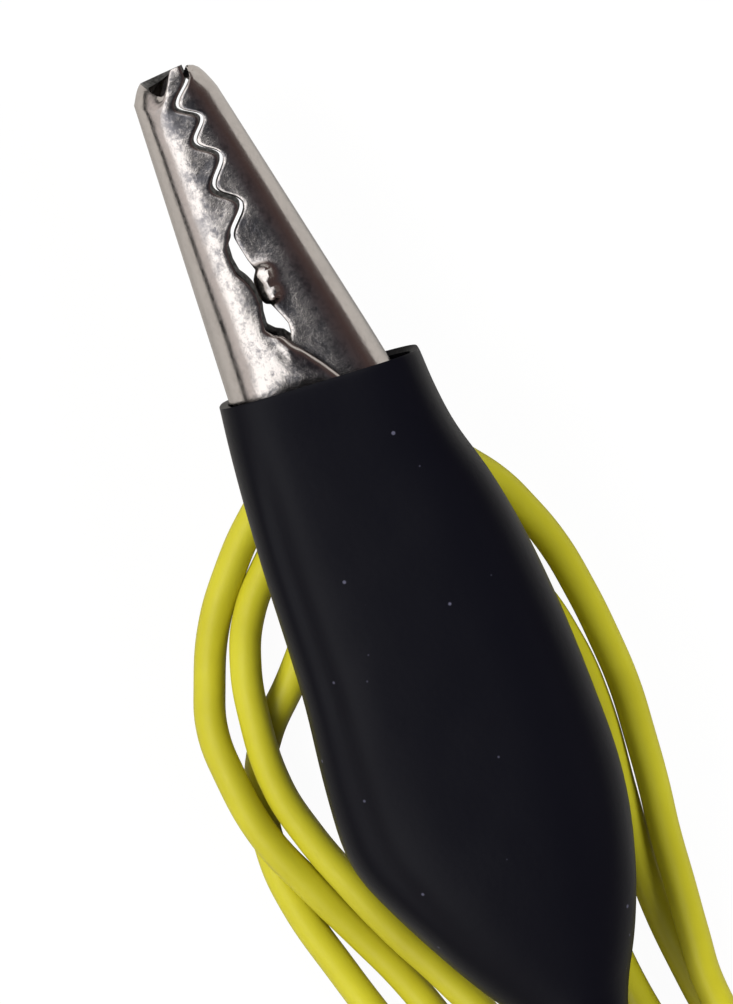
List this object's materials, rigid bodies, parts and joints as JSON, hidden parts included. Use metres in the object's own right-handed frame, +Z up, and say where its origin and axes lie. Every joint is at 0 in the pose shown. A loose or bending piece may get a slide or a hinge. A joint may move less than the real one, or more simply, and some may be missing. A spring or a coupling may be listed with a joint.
{
  "type": "alligator clip lead",
  "caption": "Short test lead: a vinyl-booted, spring-closed alligator clip on each end of a thin insulated wire that lies in a loose coil.",
  "frame": {"origin": "on the surface that the lead lies on, straight under the near clip's pivot", "axes": "+X from the near clip's pivot to the tail of its boot, so the jaws' tip points to -X; +Y to the side of the moving jaw; +Z up, along the pivot"},
  "size_m": [0.1238, 0.0204, 0.0115],
  "materials": {
    "jaw_plate": "nickel-plated stamped steel, mottled",
    "spring_steel": "bright spring wire",
    "boot_vinyl": "soft dip-moulded vinyl, satin blue-black",
    "copper": "bare stranded copper",
    "solder": "smooth tin solder",
    "wire_insulation": "yellow PVC, low gloss"
  },
  "bodies": {
    "lead": {"fixed_jaw": "jaw_plate", "pivot_rivet": "jaw_plate", "jaw_spring": "spring_steel", "boot": "boot_vinyl", "conductor": "copper", "solder_joint": "solder", "near_wire": "wire_insulation", "wire_coil": "wire_insulation", "far_wire": "wire_insulation", "far_fixed_jaw": "jaw_plate", "far_pivot_rivet": "jaw_plate", "far_jaw_spring": "spring_steel", "far_boot": "boot_vinyl", "far_conductor": "copper", "far_solder_joint": "solder"},
    "jaw": {"moving_jaw": "jaw_plate"},
    "far_jaw": {"far_moving_jaw": "jaw_plate"}
  },
  "joints": [
    {"name": "jaw_hinge", "type": "hinge", "parent": "lead", "child": "jaw", "pos_m": [0, 0, 0.0073], "axis": [0, 0, -1], "range_deg": [0, 22], "stiffness_Nm_per_rad": 0.06, "springref_deg": -57.3, "deforming": ["jaw_spring", "boot"]},
    {"name": "far_jaw_hinge", "type": "hinge", "parent": "lead", "child": "far_jaw", "pos_m": [0.086, 0, 0.0042], "axis": [0, 0, -1], "range_deg": [0, 22], "stiffness_Nm_per_rad": 0.06, "springref_deg": -57.3, "deforming": ["far_jaw_spring", "far_boot"]}
  ]
}
